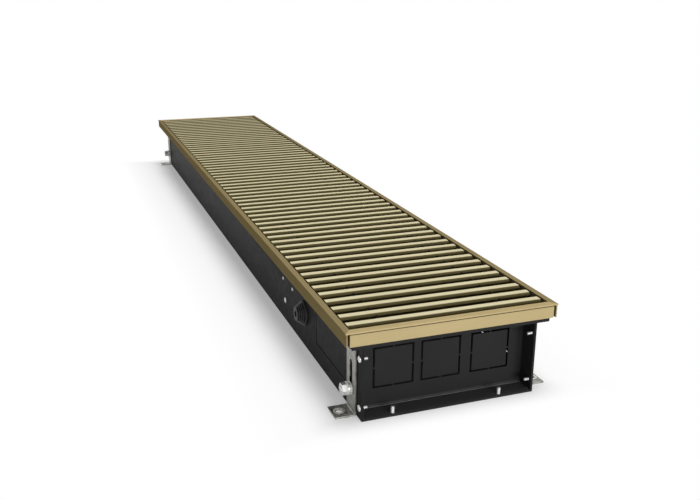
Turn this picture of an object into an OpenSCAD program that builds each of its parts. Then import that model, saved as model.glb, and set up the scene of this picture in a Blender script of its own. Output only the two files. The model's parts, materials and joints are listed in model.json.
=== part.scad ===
// Trench convector heater: a folded sheet trough with a roll-out bar grille in an aluminium frame.
// Inside are a finned water coil, a twin cross-flow fan and a terminal box.
// Millimetres. Origin at the bottom centre, X across, Y along (near end at -Y), Z up.

/* [Overall] */
// Length over the frame
frame_len = 1480; // [1300:10:1900]
// Width over the frame's top flanges
frame_w = 260; // [254:1:275]
// Height from the floor to the top of the frame
total_h = 112; // [110:1:130]

/* [Casing] */
// Outside width of the trough
casing_w = 217; // [212:1:222]
// Thickness of the casing sheet
sheet_t = 1.2; // [1:0.1:1.5]
// Height of the rim's down-turned lip
rim_lip_h = 8.3; // [6:0.1:11]
// Distance from the frame's end to the trough's end
trough_setback = 7.3; // [6.5:0.1:9]
// Gap between the rim's lip and the inner leg of the frame
lip_gap = 1.4; // [0.5:0.1:2]
// Width of a stiffening brace across the trough
brace_w = 22; // [15:1:30]
// Height of a stiffening brace
brace_h = 9; // [6:1:12]

/* [Frame] */
// Width of the top flange along the sides
side_flange_w = 7.5; // [7:0.1:9]
// Width of the top flange across the ends
end_flange_w = 10.2; // [9:0.1:12]
// Thickness of the top flange
flange_t = 1.6; // [1.2:0.1:2]
// Thickness of the skirt, leg and shelf
leg_t = 1.5; // [1.2:0.1:1.6]
// Depth of the outer skirt below the frame's top
skirt_h = 16.6; // [15:0.1:18]
// Depth of the frame's seat on the rim below the frame's top
seat_drop = 13.6; // [13:0.1:15]
// Overhang of the top flange past the skirt
flange_nose = 1; // [0.6:0.1:1.4]
// Height of the shadow groove under the end flanges
groove_h = 0.6; // [0.4:0.1:1]
// Width of the shelf that carries the grille
shelf_w = 13.1; // [11:0.1:15]

/* [Grille] */
// Width of one grille bar
bar_w = 14; // [12:0.5:16]
// Wall of the hollow grille bar
bar_wall = 1.4; // [1.2:0.1:1.8]
// Radius of a bar's top edges
bar_round = 4; // [3:0.5:5]
// Wanted distance from bar to bar
bar_pitch_wanted = 24; // [21:0.5:28]
// Distance from the frame's end to the first bar's centre
first_bar_at = 27; // [24:0.5:32]
// Drop of the bar tops below the frame's top
bar_drop = 0.8; // [0.4:0.1:1.6]
// Gap from a bar's end to the flange's inner edge
bar_end_gap = 2.3; // [1.5:0.1:4]
// Diameter of the rods that string the bars
rod_d = 4; // [3:0.5:4.5]
// Distance of each rod from the middle of the grille
rod_from_mid = 78; // [60:1:90]
// Diameter of the spacers between the bars
spacer_d = 6.4; // [6:0.1:7]
// Thickness of the rubber strip under the bar ends
strip_t = 1.6; // [1:0.1:2]

/* [End panels] */
// Depth of the tray in front of the end panel
tray_depth = 26; // [20:1:32]
// Side of a square knockout
knockout_size = 48.2; // [40:0.2:50]
// Distance from knockout to knockout
knockout_pitch = 61.5; // [60:0.5:64]
// Height of the knockouts' lower edge above the floor
knockout_base = 25.7; // [20:0.1:30]
// Width of the cut around a knockout
knockout_cut = 2.4; // [1.5:0.1:3]
// Width of the bridges that hold a knockout
knockout_bridge = 1.6; // [1:0.1:2.5]
// Distance of the screws from the trough's end
screw_inset = 6; // [5.5:0.1:8]
// Height of the lower side screws above the floor
screw_low = 14.5; // [12:0.5:18]
// Height of the upper side screws above the floor
screw_high = 74; // [65:0.5:78]
// Length by which a side screw stands out inside the tray
screw_reach = 6; // [5:0.5:10]
// Distance of each floor screw from the middle of the pair
floor_screw_at = 67.5; // [50:0.5:80]
// Diameter of the floor screws
floor_screw_d = 4.8; // [4:0.2:5]
// Length by which a floor screw stands out inside the tray
floor_screw_reach = 8; // [6:0.5:10]
// Inside radius of the folds around the tray
tray_fold = 3; // [2:0.5:4]
// Length of the knockout in the trough's side walls
side_knockout_len = 116; // [80:1:120]

/* [Feet] */
// Width of a foot bracket along the casing
foot_w = 28; // [22:1:30]
// Length of the foot plate
foot_len = 23.2; // [22:0.2:30]
// Thickness of the foot bracket
foot_t = 2; // [1.5:0.1:2.5]
// Inside bend radius of the foot bracket
foot_bend = 1.5; // [1:0.1:3]
// Height of the upright leg
foot_leg_h = 80; // [76:1:84]
// Distance from the frame's end to the bracket's centre
foot_at = 36.2; // [34:0.1:40]
// Height of the clamping stud above the floor
stud_z = 29; // [27:0.5:32]
// Height of the slot's lower end
slot_start = 20; // [18:0.5:22]
// Length of the slot in the leg
slot_len = 44; // [40:1:48]
// Width of the slot in the leg
slot_w = 9; // [8.6:0.1:10]
// Diameter of the anchor hole in the foot plate
anchor_hole_d = 8.5; // [7:0.1:10]
// Distance of the anchor hole from the leg
anchor_out = 14.2; // [10:0.2:16]

/* [Exchanger] */
// Width of the fin pack
fin_w = 120; // [100:1:122]
// Height of the fin pack
fin_h = 46; // [40:1:48]
// Thickness of one fin
fin_t = 0.6; // [0.5:0.1:1]
// Distance from fin to fin
fin_pitch = 8; // [6:0.5:12]
// Height of the fin pack's underside above the floor
fin_base = 16; // [14:0.5:18]
// Distance from the frame's near end to the first fin
fin_start = 264; // [262:1:280]
// Distance from the frame's far end to the last fin
fin_stop = 118; // [100:1:150]
// Middle of the fin pack from the trough's middle
coil_x = 35; // [30:1:36]
// Outside diameter of the water tubes
tube_d = 15; // [12:0.5:15]
// Wall of the water tubes
tube_wall = 1; // [0.8:0.1:1.2]
// Distance between the two tubes of a row
tube_pitch_x = 64; // [50:1:68]
// Distance between the lower and upper tubes
tube_pitch_z = 25; // [22:0.5:26]
// Core diameter of the half-inch pipe thread
port_d = 18.6; // [18.6:0.1:19]

/* [Fan] */
// Diameter of the fan drums
drum_d = 44; // [36:1:46]
// Number of blades in a drum
blade_count = 20; // [12:1:24]
// Thickness of a blade
blade_t = 0.9; // [0.7:0.1:1.2]
// Depth of a blade
blade_depth = 6; // [4:0.5:7]
// Height of the fan's axis above the floor
fan_z = 45; // [42:1:46]
// Middle of the fan from the trough's middle
fan_x = -76; // [-77:1:-74]
// Diameter of the motor
motor_d = 48; // [40:1:50]
// Length of the motor
motor_len = 66; // [50:1:80]
// Diameter of the motor shaft
shaft_d = 6; // [5:0.5:8]
// Distance from the frame's near end to the fan housings
fan_start = 352; // [350:1:370]

/* [Electrical] */
// Length of the terminal box
box_len = 136; // [130:1:140]
// Width of the terminal box
box_w = 47; // [44:1:50]
// Height of the terminal box
box_h = 56; // [54:1:60]
// Distance from the frame's near end to the terminal box
box_start = 204; // [202:1:206]
// Wall of the terminal box
box_wall = 2; // [1.6:0.1:2.4]
// Largest diameter of the stepped cable grommet
grommet_d = 33; // [30:0.5:36]
// Distance from the frame's near end to the grommet
grommet_at = 222.5; // [221:0.5:224]
// Height of the grommet above the floor
grommet_z = 47; // [44:0.5:49]
// Bore of the grommet
grommet_bore = 9; // [7:0.5:11]

/* [Hidden] */

// Colours
casing_col = "#303135";
frame_col = "#c0ab78";
bar_col = "#cfc79a";
zinc_col = "#a9a59b";
steel_col = "#d5d5d2";
copper_col = "#b8734a";
brass_col = "#c9a24e";
fin_col = "#26282b";
black_col = "#1c1c1e";
grey_col = "#8d9094";

// Shared clearances
fit_gap = 0.3;
run_gap = 0.05;
cut_over = 1;
round_fn = 48;
hex_fn = 6;

// Levels
half_len = frame_len / 2;
half_w = frame_w / 2;
seat_z = total_h - seat_drop;
shelf_top = seat_z + leg_t;
inner_half = casing_w / 2 - sheet_t;

// Frame sections
flange_inner_x = half_w - side_flange_w;
leg_nose = 0.6;
leg_inner_x = flange_inner_x + leg_nose;
leg_outer_x = leg_inner_x + leg_t;
skirt_outer_x = half_w - flange_nose;
rim_half = leg_inner_x - lip_gap;
end_skirt_inset = 0.4;
end_skirt_half = leg_outer_x + fit_gap;
side_leg_start = end_skirt_inset + leg_t + fit_gap;
rim_lip_at = end_skirt_inset + leg_t + lip_gap;
groove_depth = 0.6;
angle_arm = 9;
angle_t = 1;
angle_top_gap = 2.2;
angle_h = total_h - flange_t - shelf_top - fit_gap - angle_top_gap;

// Grille
bar_bottom = shelf_top + strip_t + fit_gap;
bar_top = total_h - bar_drop;
bar_h = bar_top - bar_bottom;
bar_half = flange_inner_x - bar_end_gap;
bar_span = frame_len - 2 * first_bar_at;
bar_count = round(bar_span / bar_pitch_wanted) + 1;
bar_pitch = bar_span / (bar_count - 1);
rod_height_share = 0.45;
rod_z = bar_bottom + bar_h * rod_height_share;
rod_r = rod_d / 2;
rod_bore_r = rod_r + run_gap;
rod_overrun = 1.5;
strip_w = 7;

// End panels
panel_at = trough_setback + tray_depth;
tray_half = inner_half - fit_gap;
tray_floor = sheet_t + fit_gap;
rim_under = seat_z - sheet_t;
screw_at = trough_setback + screw_inset;
screw_r = 2;
screw_head_r = 4;
screw_head_h = 2.4;
screw_gap = 0.1;
screw_chamfer = 0.6;
pan_edge_share = 0.45;
pan_crown_share = 0.7;
floor_screw_r = floor_screw_d / 2;
floor_screw_inset = 4.7;
floor_screw_shift = -2.1;
floor_head_r = 3.8;
floor_head_h = 1.9;
knockout_shifts = [1.2, -1, 1.1];
side_knockout_gap = 4;
side_knockout_start = foot_at + foot_w / 2 + side_knockout_gap;
side_knockout_cut = 1.5;

// Feet
stud_r = 4;
stud_gap = 0.1;
stud_head_r = 5.2;
stud_head_h = 0.7;
nut_af = 13;
nut_h = 6.5;
nut_overrun = 0.6;
nut_turn = 30;
washer_r = 8;
washer_t = 1.6;
spring_washer_r = 6.9;
spring_washer_t = 2;
spring_washer_split = 1.6;
leg_x = casing_w / 2 + fit_gap;
washer_x = leg_x + foot_t + fit_gap;
spring_washer_x = washer_x + washer_t;
outer_washer_x = spring_washer_x + spring_washer_t;
nut_x = outer_washer_x + washer_t;
foot_outer_x = leg_x + foot_t + foot_len;
anchor_x = leg_x + foot_t + anchor_out;
anchor_sink_r = anchor_hole_d / 2 + 2;
anchor_sink_h = 0.8;
foot_corner = 2.5;

// Braces across the trough, as shares of its length
brace_shares = [0.3, 0.5, 0.7];
brace_top = rim_under - 2 * fit_gap;

// Exchanger
tube_r = tube_d / 2;
tube_bore_r = tube_r - tube_wall;
tube_hole_r = tube_r + run_gap;
tube_low_z = fin_base + (fin_h - tube_pitch_z) / 2;
tube_high_z = tube_low_z + tube_pitch_z;
tube_left_x = coil_x - tube_pitch_x / 2;
tube_right_x = coil_x + tube_pitch_x / 2;
plate_gap = 7;
plate_t = 1.2;
plate_margin = 3;
plate_foot = 12;
tube_out = 24;
tube_start = fin_start - plate_gap - tube_out;
tube_end = frame_len - fin_stop + plate_gap + tube_out;
fin_span = frame_len - fin_stop - fin_start;
fin_count = floor(fin_span / fin_pitch) + 1;
support_pitch_wanted = 500;
support_count = round(fin_span / support_pitch_wanted);
support_pitch = fin_span / support_count;
support_len = 18;
fitting_len = 40;
fitting_r = 12;
fitting_hex_af = 26;
fitting_hex_len = 13;
socket_depth = 7;
port_depth = 15;
vent_r = 6;
vent_h = 13;
vent_cap_af = 12;
vent_cap_h = 4;
vent_bore_r = 2.5;
bleed_r = vent_bore_r - run_gap;
bleed_depth = 6;
bleed_head_r = 4;
bleed_head_h = 3;
bleed_slot_w = 1;

// Fan
drum_r = drum_d / 2;
blade_tilt = 28;
blade_share = 0.9;
disc_t = 1.5;
hub_r = shaft_d / 2 + 3;
hub_len = 12;
stub_r = 2.5;
stub_len = 14;
shaft_r = shaft_d / 2;
motor_at = (fan_start + (frame_len - fin_stop)) / 2;
motor_gap = 5;
bearing_t = 2;
bearing_plate_gap = 4;
drum_near_start = fan_start + bearing_t + bearing_plate_gap;
drum_near_end = motor_at - motor_len / 2 - motor_gap;
drum_far_start = motor_at + motor_len / 2 + motor_gap;
fan_stop = frame_len - fin_stop;
drum_far_end = fan_stop - bearing_t - bearing_plate_gap;
bush_r = 6;
bush_len = 7;
housing_t = 1;
housing_back_x = -inner_half + 3;
housing_front_x = fan_x + drum_r + 5;
housing_top_gap = 3.6;
housing_back_h = brace_top - brace_h - housing_top_gap;
housing_front_h = 24;
bearing_plate_top = fan_z + drum_r + 6;
housing_near_end = drum_near_end;
housing_far_start = drum_far_start;
cradle_t = 1.5;
cradle_len = 42;
cradle_web_at = 16;
cradle_drop_share = 0.25;
motor_cap_r = motor_d / 2 - 6;
motor_cap_t = 3;

// Electrical
box_floor_z = 12;
box_back_x = -inner_half;
box_front_x = box_back_x + box_w;
box_top_z = box_floor_z + box_h;
box_end = box_start + box_len;
lid_t = 2;
lid_over = 1;
lid_screw_r = 1.6;
lid_screw_head_r = 3;
lid_screw_head_h = 1.8;
lid_screw_len = 7;
post_r = 3.4;
post_merge = 1;
block_len = 62;
block_w = 18;
block_h = 16;
block_teeth = 6;
block_tooth_share = 0.8;
grommet_step_count = 4;
grommet_step_len = 2.3;
grommet_base_t = 3;
grommet_tip_share = 0.6;
grommet_rib = 1.1;
grommet_neck_r = 10;
grommet_inside = 4;
lead_r = 2.5;
lead_bend = 9;
lead_end_share = 0.25;
lead_x = housing_front_x + lead_r + 3;
lead_start_at = box_end - 14;
lead_gland_z = box_floor_z + 9;
rivet_insets = [73.6, 120.8];
rivet_ats = [for (inset = rivet_insets) box_start + inset];
rivet_drop = 7.5;
rivet_z = box_top_z - rivet_drop;
rivet_r = 2.4;
rivet_shank_r = 1.2;
rivet_h = 1.1;
wall_screw_inset = 109;
wall_screw_at = box_start + wall_screw_inset;
wall_screw_rise = 19.5;
wall_screw_z = box_floor_z + wall_screw_rise;

// Distance from the frame's near end to a Y place
function y_at(s) = s - half_len;

module both_ends() {
  children();
  mirror([0, 1, 0]) children();
}

module both_sides() {
  children();
  mirror([1, 0, 0]) children();
}

// A true round cylinder along +Z
module rod(r, len) cylinder(r = r, h = len, $fn = round_fn);

// A cylinder along +X from x, centred on y and z
module x_rod(x, y, z, r, len) translate([x, y, z]) rotate([0, 90, 0]) rod(r, len);

// A cylinder along +Y from y, centred on x and z
module y_rod(x, y, z, r, len) translate([x, y, z]) rotate([-90, 0, 0]) rod(r, len);

// A hole along X through one wall that starts at x
module wall_hole(x, t, y, z, r) x_rod(x - cut_over, y, z, r, t + 2 * cut_over);

// A hexagon along +X, its corners up and down, or turned about its axis
module x_hex(x, y, z, af, len, turn = 0) {
  translate([x, y, z]) rotate([turn, 0, 0]) rotate([0, 90, 0]) cylinder(r = af / sqrt(3), h = len, $fn = hex_fn);
}

// A profile drawn as X and Z, pulled along Y from y0 to y1
module pull_y(y0, y1) {
  translate([0, y1, 0]) rotate([90, 0, 0]) linear_extrude(height = y1 - y0) children();
}

// A square outline cut, left whole at the middle of each side
module knockout_cut_2d(w, h, cut, bridge) {
  difference() {
    square([w + cut, h + cut], center = true);
    square([w - cut, h - cut], center = true);
    square([bridge, h + 2 * cut], center = true);
    square([w + 2 * cut, bridge], center = true);
  }
}

module trough_profile() {
  translate([-casing_w / 2, 0]) square([casing_w, sheet_t]);
  both_sides() {
    translate([inner_half, 0]) square([sheet_t, seat_z]);
    translate([inner_half, rim_under]) square([rim_half - inner_half, sheet_t]);
    translate([rim_half - sheet_t, seat_z - rim_lip_h]) square([sheet_t, rim_lip_h]);
  }
}

module side_knockout() {
  h = knockout_size;
  translate([inner_half - cut_over, y_at(side_knockout_start + side_knockout_len / 2), knockout_base + h / 2])
    rotate([90, 0, 90]) linear_extrude(height = sheet_t + 2 * cut_over)
      knockout_cut_2d(side_knockout_len, h, side_knockout_cut, knockout_bridge);
}

module side_screw_holes(r) {
  for (z = [screw_low, screw_high])
    x_rod(inner_half - 2 * sheet_t - cut_over, y_at(screw_at), z, r, 3 * sheet_t + 2 * cut_over);
}

// Half outline of a pan head, turned about Z
module pan_head() rotate_extrude($fn = round_fn) polygon([
  [0, 0],
  [screw_head_r, 0],
  [screw_head_r, screw_head_h * pan_edge_share],
  [screw_head_r * pan_crown_share, screw_head_h],
  [0, screw_head_h]
]);

// The two sunk floor screws of an end: a flat head and a straight shank
module floor_screw_pair(gap) for (side = [-1, 1])
  translate([side * floor_screw_at + floor_screw_shift, y_at(trough_setback + floor_screw_inset), 0]) {
    cylinder(r1 = floor_head_r + gap, r2 = floor_screw_r + gap, h = floor_head_h, $fn = round_fn);
    rod(floor_screw_r + gap, tray_floor + sheet_t + floor_screw_reach);
  }

// Holes of the grommet, rivets and screw through a wall that starts at x
module left_wall_holes(x, t) {
  wall_hole(x, t, y_at(grommet_at), grommet_z, grommet_neck_r + run_gap);
  for (s = rivet_ats) wall_hole(x, t, y_at(s), rivet_z, rivet_shank_r + run_gap);
  wall_hole(x, t, y_at(wall_screw_at), wall_screw_z, screw_r + screw_gap);
}

module casing_trough() color(casing_col) difference() {
  pull_y(y_at(trough_setback), -y_at(trough_setback)) trough_profile();
  both_sides() side_knockout();
  both_ends() {
    floor_screw_pair(screw_gap);
    both_sides() {
      side_screw_holes(screw_r + screw_gap);
      x_rod(inner_half - cut_over, y_at(foot_at), stud_z, stud_head_r + run_gap, stud_head_h + cut_over);
      wall_hole(inner_half, sheet_t, y_at(foot_at), stud_z, stud_r + run_gap);
    }
  }
  left_wall_holes(-casing_w / 2, sheet_t);
}

// A hollow fold's section, its corner at the origin
module fold_section() difference() {
  translate([-tray_fold, 0]) square([tray_fold, tray_fold]);
  translate([-tray_fold, tray_fold]) circle(r = tray_fold, $fn = round_fn);
}

// Folds of the panel: along its foot and up its sides
module tray_folds() {
  half = tray_half - sheet_t;
  base = tray_floor + sheet_t;
  translate([-half, y_at(panel_at), base]) rotate([90, 0, 90]) linear_extrude(height = 2 * half) fold_section();
  both_sides() translate([half, y_at(panel_at), base + tray_fold]) mirror([0, 1, 0])
    linear_extrude(height = rim_under - base - tray_fold) fold_section();
}

module end_panel() color(casing_col) difference() {
  union() {
    translate([-tray_half, y_at(panel_at), tray_floor]) cube([2 * tray_half, sheet_t, seat_z - tray_floor]);
    translate([-tray_half, y_at(trough_setback), tray_floor]) cube([2 * tray_half, tray_depth, sheet_t]);
    both_sides() translate([tray_half - sheet_t, y_at(trough_setback), tray_floor])
      cube([sheet_t, tray_depth, seat_z - tray_floor]);
    translate([-rim_half, y_at(rim_lip_at), rim_under])
      cube([2 * rim_half, trough_setback - fit_gap - rim_lip_at, sheet_t]);
    translate([-tray_half, y_at(rim_lip_at), rim_under])
      cube([2 * tray_half, panel_at - rim_lip_at, sheet_t]);
    translate([-rim_half, y_at(rim_lip_at), seat_z - rim_lip_h]) cube([2 * rim_half, sheet_t, rim_lip_h]);
    tray_folds();
  }
  for (i = [-1:1]) {
    middle = i * knockout_pitch + knockout_shifts[i + 1];
    translate([middle, y_at(panel_at) + sheet_t + cut_over, knockout_base + knockout_size / 2])
      rotate([90, 0, 0]) linear_extrude(height = sheet_t + 2 * cut_over)
        knockout_cut_2d(knockout_size, knockout_size, knockout_cut, knockout_bridge);
  }
  both_sides() side_screw_holes(screw_r + screw_gap);
  floor_screw_pair(screw_gap);
}

module near_end_panel() end_panel();

module far_end_panel() mirror([0, 1, 0]) end_panel();

// A shallow channel, open below, from wall to wall
module cross_braces() color(casing_col)
  for (share = brace_shares)
    translate([-inner_half, y_at(share * frame_len) - brace_w / 2, brace_top - brace_h]) difference() {
      cube([2 * inner_half, brace_w, brace_h]);
      translate([-cut_over, sheet_t, -cut_over])
        cube([2 * inner_half + 2 * cut_over, brace_w - 2 * sheet_t, brace_h - sheet_t + cut_over]);
    }

// Top flange of a side, mitred at both ends
module side_flange() translate([0, 0, total_h - flange_t]) linear_extrude(height = flange_t)
  polygon([
    [half_w, -half_len], [half_w, half_len],
    [flange_inner_x, half_len - end_flange_w], [flange_inner_x, end_flange_w - half_len]
  ]);

module side_profile() color(frame_col) {
  side_flange();
  pull_y(end_skirt_inset - half_len, half_len - end_skirt_inset)
    translate([skirt_outer_x - leg_t, total_h - skirt_h]) square([leg_t, skirt_h - flange_t]);
  pull_y(side_leg_start - half_len, half_len - side_leg_start)
    translate([leg_inner_x, seat_z]) square([leg_t, seat_drop - flange_t]);
  pull_y(trough_setback - half_len, half_len - trough_setback)
    translate([leg_outer_x - shelf_w, seat_z]) square([shelf_w, leg_t]);
}

module frame_right() side_profile();

module frame_left() mirror([1, 0, 0]) side_profile();

module end_flange() translate([0, 0, total_h - flange_t]) linear_extrude(height = flange_t)
  polygon([
    [-half_w, -half_len], [half_w, -half_len],
    [flange_inner_x, end_flange_w - half_len], [-flange_inner_x, end_flange_w - half_len]
  ]);

module end_profile() color(frame_col) {
  skirt_y = end_skirt_inset - half_len;
  leg_y = end_flange_w - leg_nose - leg_t - half_len;
  end_flange();
  translate([-end_skirt_half, skirt_y, total_h - skirt_h])
    cube([2 * end_skirt_half, leg_t, skirt_h - flange_t - groove_h]);
  translate([-end_skirt_half, skirt_y + groove_depth, total_h - skirt_h])
    cube([2 * end_skirt_half, leg_t - groove_depth, skirt_h - flange_t / 2]);
  translate([-rim_half, leg_y, shelf_top]) cube([2 * rim_half, leg_t, seat_drop - leg_t - flange_t / 2]);
  half_shelf = leg_outer_x - shelf_w - fit_gap;
  translate([-half_shelf, leg_y, seat_z]) cube([2 * half_shelf, leg_t, 2 * leg_t]);
}

module frame_near() end_profile();

module frame_far() mirror([0, 1, 0]) end_profile();

// Small angles that tie the frame's inner corners
module frame_corner_angles() color(zinc_col) both_ends() both_sides()
  translate([leg_inner_x, end_flange_w - leg_nose - half_len, shelf_top + fit_gap]) {
    translate([-angle_t, 0, 0]) cube([angle_t, angle_arm, angle_h]);
    translate([-angle_arm, 0, 0]) cube([angle_arm, angle_t, angle_h]);
  }

module grille_rest_strips() color(black_col) both_sides()
  translate([bar_half - strip_w, first_bar_at - bar_w / 2 - half_len, shelf_top])
    cube([strip_w, bar_span + bar_w, strip_t]);

// A bar's section as Y and Z: round top edges, hollow inside
module bar_section(w, h, r) {
  translate([-w / 2, 0]) square([w, h - r]);
  translate([-w / 2 + r, 0]) square([w - 2 * r, h]);
  for (side = [-1, 1]) translate([side * (w / 2 - r), h - r]) circle(r = r, $fn = round_fn);
}

module bar() translate([-bar_half, 0, bar_bottom]) rotate([90, 0, 90])
  linear_extrude(height = 2 * bar_half) difference() {
    bar_section(bar_w, bar_h, bar_round);
    translate([0, bar_wall]) bar_section(bar_w - 2 * bar_wall, bar_h - 2 * bar_wall, bar_round - bar_wall);
  }

function bar_y(i) = first_bar_at + i * bar_pitch - half_len;

module grille_bars() color(bar_col) for (i = [0:bar_count - 1])
  translate([0, bar_y(i), 0]) difference() {
    bar();
    both_sides() y_rod(rod_from_mid, -bar_w / 2 - cut_over, rod_z, rod_bore_r, bar_w + 2 * cut_over);
  }

module grille_rods() color(steel_col) both_sides()
  y_rod(rod_from_mid, bar_y(0) - bar_w / 2 - rod_overrun, rod_z, rod_r, bar_span + bar_w + 2 * rod_overrun);

module grille_spacers() color(black_col) for (i = [0:bar_count - 2]) both_sides() difference() {
  y_rod(rod_from_mid, bar_y(i) + bar_w / 2, rod_z, spacer_d / 2, bar_pitch - bar_w);
  y_rod(rod_from_mid, bar_y(i) + bar_w / 2 - cut_over, rod_z, rod_bore_r, bar_pitch - bar_w + 2 * cut_over);
}

// Pan-head screws through wall and tray flange, tips inward
module end_panel_screws() color(steel_col) both_ends() both_sides() for (z = [screw_low, screw_high]) {
  tip_x = tray_half - sheet_t - screw_reach;
  x_rod(tip_x + screw_chamfer, y_at(screw_at), z, screw_r, casing_w / 2 - tip_x - screw_chamfer);
  translate([tip_x, y_at(screw_at), z]) rotate([0, 90, 0])
    cylinder(r1 = screw_r - screw_chamfer, r2 = screw_r, h = screw_chamfer, $fn = round_fn);
  translate([casing_w / 2, y_at(screw_at), z]) rotate([0, 90, 0]) pan_head();
}

module floor_screws() color(steel_col) both_ends() floor_screw_pair(0);

// A bent angle as X and Z: foot along +X, leg along +Z
module angle_section(leg_h, foot_l, t, inner_r) {
  r = inner_r + t;
  translate([r, 0]) square([foot_l - r, t]);
  translate([0, r]) square([t, leg_h - r]);
  intersection() {
    translate([r, r]) difference() {
      circle(r = r, $fn = round_fn);
      circle(r = inner_r, $fn = round_fn);
    }
    square([r, r]);
  }
}

module slot_cut() translate([leg_x - cut_over, y_at(foot_at), slot_start]) {
  r = slot_w / 2;
  len = foot_t + 2 * cut_over;
  translate([0, -r, r]) cube([len, slot_w, slot_len - slot_w]);
  x_rod(0, 0, r, r, len);
  x_rod(0, 0, slot_len - r, r, len);
}

module foot_corner_cut() translate([foot_outer_x, y_at(foot_at) + foot_w / 2, -cut_over]) rotate([0, 0, 45])
  cube([foot_corner * sqrt(2), foot_corner * sqrt(2), foot_t + 2 * cut_over], center = true);

module bracket() color(zinc_col) difference() {
  pull_y(y_at(foot_at) - foot_w / 2, y_at(foot_at) + foot_w / 2)
    translate([leg_x, 0]) angle_section(foot_leg_h, foot_t + foot_len, foot_t, foot_bend);
  slot_cut();
  translate([anchor_x, y_at(foot_at), -cut_over]) rod(anchor_hole_d / 2, foot_t + 2 * cut_over);
  translate([anchor_x, y_at(foot_at), foot_t - anchor_sink_h])
    cylinder(r1 = anchor_hole_d / 2, r2 = anchor_sink_r, h = anchor_sink_h, $fn = round_fn);
}

module bracket_near_right() bracket();

module bracket_near_left() mirror([1, 0, 0]) bracket();

module bracket_far_right() mirror([0, 1, 0]) bracket();

module bracket_far_left() mirror([0, 1, 0]) mirror([1, 0, 0]) bracket();

// Studs pressed into the walls from inside, heads flush
module bracket_studs() color(steel_col) both_ends() both_sides() {
  x_rod(inner_half, y_at(foot_at), stud_z, stud_head_r, stud_head_h);
  x_rod(inner_half, y_at(foot_at), stud_z, stud_r, nut_x + nut_h + nut_overrun - inner_half);
}

module ring_on_stud(x, r, t) difference() {
  x_rod(x, y_at(foot_at), stud_z, r, t);
  x_rod(x - cut_over, y_at(foot_at), stud_z, stud_r + stud_gap, t + 2 * cut_over);
}

module bracket_washers() color(steel_col) both_ends() both_sides() for (x = [washer_x, outer_washer_x])
  ring_on_stud(x, washer_r, washer_t);

module bracket_spring_washers() color(grey_col) both_ends() both_sides() difference() {
  ring_on_stud(spring_washer_x, spring_washer_r, spring_washer_t);
  translate([spring_washer_x - cut_over, y_at(foot_at) - spring_washer_split / 2, stud_z])
    cube([spring_washer_t + 2 * cut_over, spring_washer_split, spring_washer_r + cut_over]);
}

module bracket_nuts() color(steel_col) both_ends() both_sides() difference() {
  x_hex(nut_x, y_at(foot_at), stud_z, nut_af, nut_h, nut_turn);
  x_rod(nut_x - cut_over, y_at(foot_at), stud_z, stud_r + stud_gap, nut_h + 2 * cut_over);
}

// Places the children at each of the four tube centres
module at_tubes() for (x = [tube_left_x, tube_right_x], z = [tube_low_z, tube_high_z])
  translate([x, 0, z]) children();

module exchanger_fins() color(fin_col) for (i = [0:fin_count - 1])
  translate([0, y_at(fin_start + i * fin_pitch), 0]) difference() {
    translate([coil_x - fin_w / 2, 0, fin_base]) cube([fin_w, fin_t, fin_h]);
    at_tubes() y_rod(0, -cut_over, 0, tube_hole_r, fin_t + 2 * cut_over);
  }

module exchanger_tubes() color(copper_col) at_tubes() difference() {
  y_rod(0, y_at(tube_start), 0, tube_r, tube_end - tube_start);
  y_rod(0, y_at(tube_start) - cut_over, 0, tube_bore_r, tube_end - tube_start + 2 * cut_over);
}

// A plate around the tubes with a foot that stands on the trough's floor
module tube_plate(y, foot_side) {
  foot_y = foot_side > 0 ? y : y + plate_t - plate_foot;
  difference() {
    union() {
      translate([coil_x - fin_w / 2, y, sheet_t])
        cube([fin_w, plate_t, fin_base + fin_h + plate_margin - sheet_t]);
      translate([coil_x - fin_w / 2, foot_y, sheet_t]) cube([fin_w, plate_foot, plate_t]);
    }
    at_tubes() y_rod(0, y - cut_over, 0, tube_hole_r, plate_t + 2 * cut_over);
  }
}

module exchanger_end_plates() color(zinc_col) {
  tube_plate(y_at(fin_start - plate_gap), -1);
  tube_plate(y_at(frame_len - fin_stop + plate_gap - plate_t), 1);
}

// Channels under the fins, open below
module exchanger_supports() color(zinc_col) for (i = [0:support_count - 1]) {
  start = y_at(fin_start + i * support_pitch + support_pitch / 2) - support_len / 2;
  translate([coil_x - fin_w / 2, start, sheet_t]) difference() {
    cube([fin_w, support_len, fin_base - sheet_t]);
    translate([-cut_over, plate_t, -cut_over])
      cube([fin_w + 2 * cut_over, support_len - 2 * plate_t, fin_base - sheet_t - plate_t + cut_over]);
  }
}

// Half a ring of tube that opens towards -Y
module half_bend(r) rotate_extrude(angle = 180, $fn = 2 * round_fn) translate([r, 0]) difference() {
  circle(r = tube_r, $fn = round_fn);
  circle(r = tube_bore_r, $fn = round_fn);
}

module far_return_bends() color(copper_col) for (x = [tube_left_x, tube_right_x])
  translate([x, y_at(tube_end), (tube_low_z + tube_high_z) / 2]) rotate([0, 90, 0])
    half_bend(tube_pitch_z / 2);

module near_return_bend() color(copper_col)
  translate([coil_x, y_at(tube_start), tube_high_z]) rotate([0, 0, 180]) half_bend(tube_pitch_x / 2);

// A brass socket: pipe thread towards the end panel, solder cup on the tube
module fitting(x) color(brass_col) {
  start = y_at(tube_start + socket_depth) - fitting_len;
  difference() {
    union() {
      y_rod(x, start, tube_low_z, fitting_r, fitting_len);
      translate([x, start, tube_low_z]) rotate([-90, 0, 0])
        cylinder(r = fitting_hex_af / sqrt(3), h = fitting_hex_len, $fn = hex_fn);
    }
    y_rod(x, start - cut_over, tube_low_z, port_d / 2, port_depth + cut_over);
    y_rod(x, start, tube_low_z, tube_bore_r, fitting_len + cut_over);
    y_rod(x, y_at(tube_start), tube_low_z, tube_hole_r, socket_depth + cut_over);
  }
}

module supply_fitting() fitting(tube_right_x);

module return_fitting() fitting(tube_left_x);

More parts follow.
